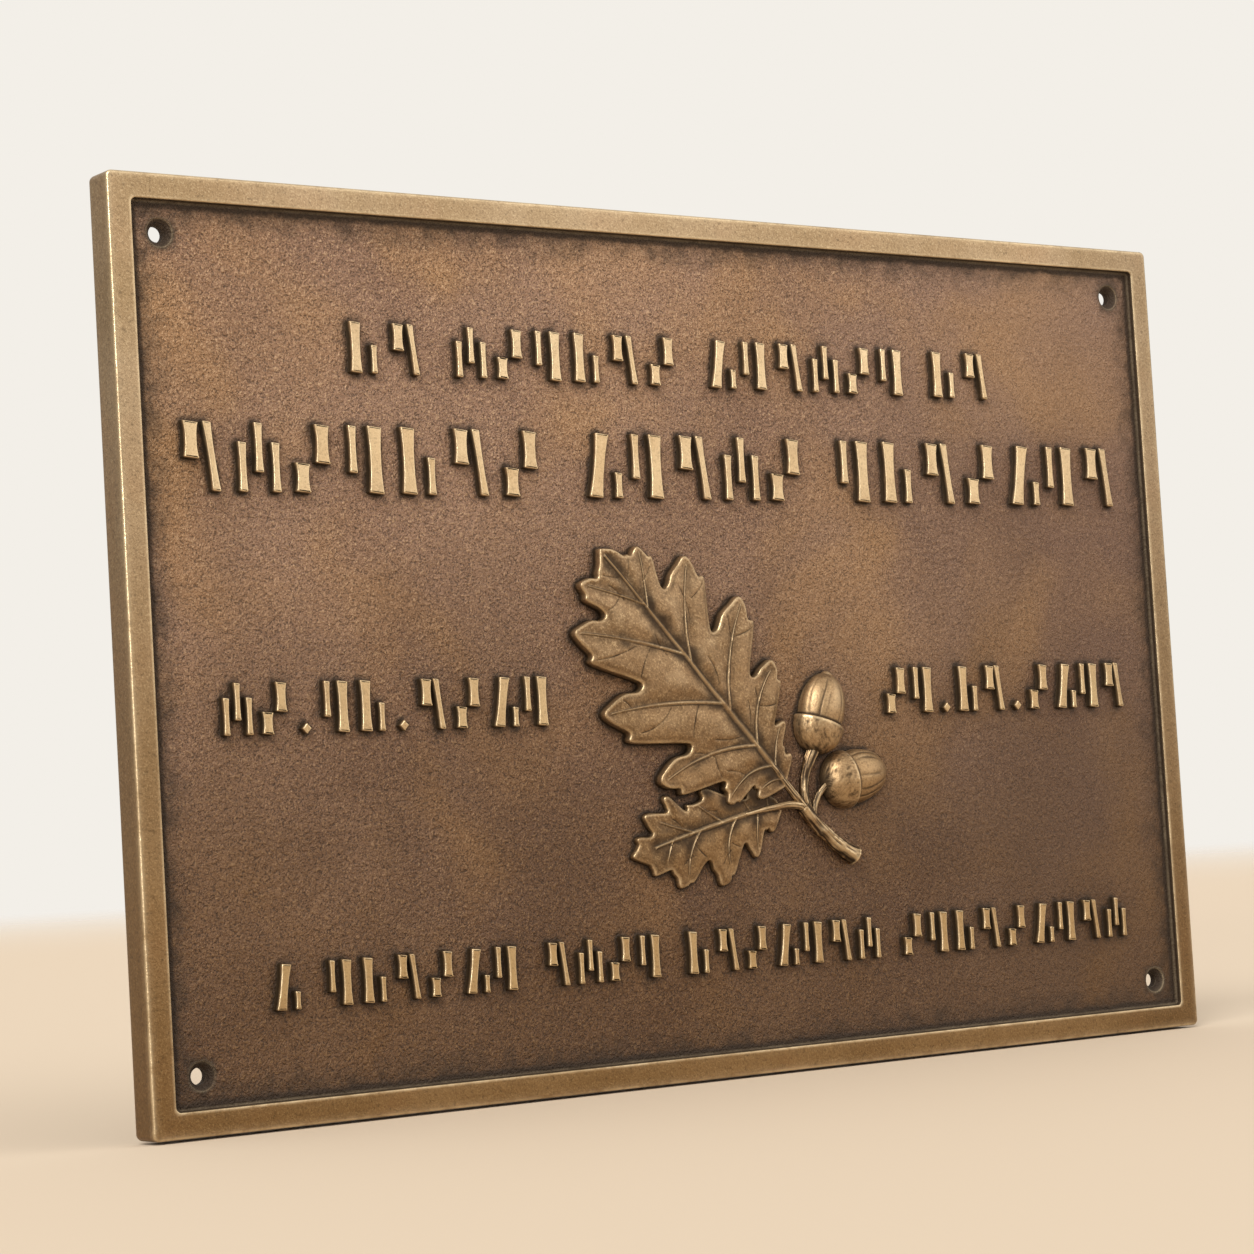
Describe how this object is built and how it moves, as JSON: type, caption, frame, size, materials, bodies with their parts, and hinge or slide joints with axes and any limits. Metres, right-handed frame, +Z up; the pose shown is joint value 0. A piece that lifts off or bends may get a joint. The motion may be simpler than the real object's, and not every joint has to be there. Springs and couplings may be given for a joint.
{
  "type": "memorial plaque",
  "caption": "Flat rectangular bronze grave marker plaque with a raised border, an oak spray in relief, rows of raised strokes and screw holes in its corners.",
  "frame": {"origin": "centre of the back, on the flat where the two back ribs cross, in the plane that meets the wall", "axes": "+X across the plaque to the right of a viewer in front, -Y out of the face towards the viewer, +Y into the wall, +Z up"},
  "size_m": [0.3048, 0.0133, 0.2032],
  "materials": {
    "antique_bronze": null
  },
  "bodies": {
    "root": {"bronze_plaque": "antique_bronze"}
  },
  "joints": []
}
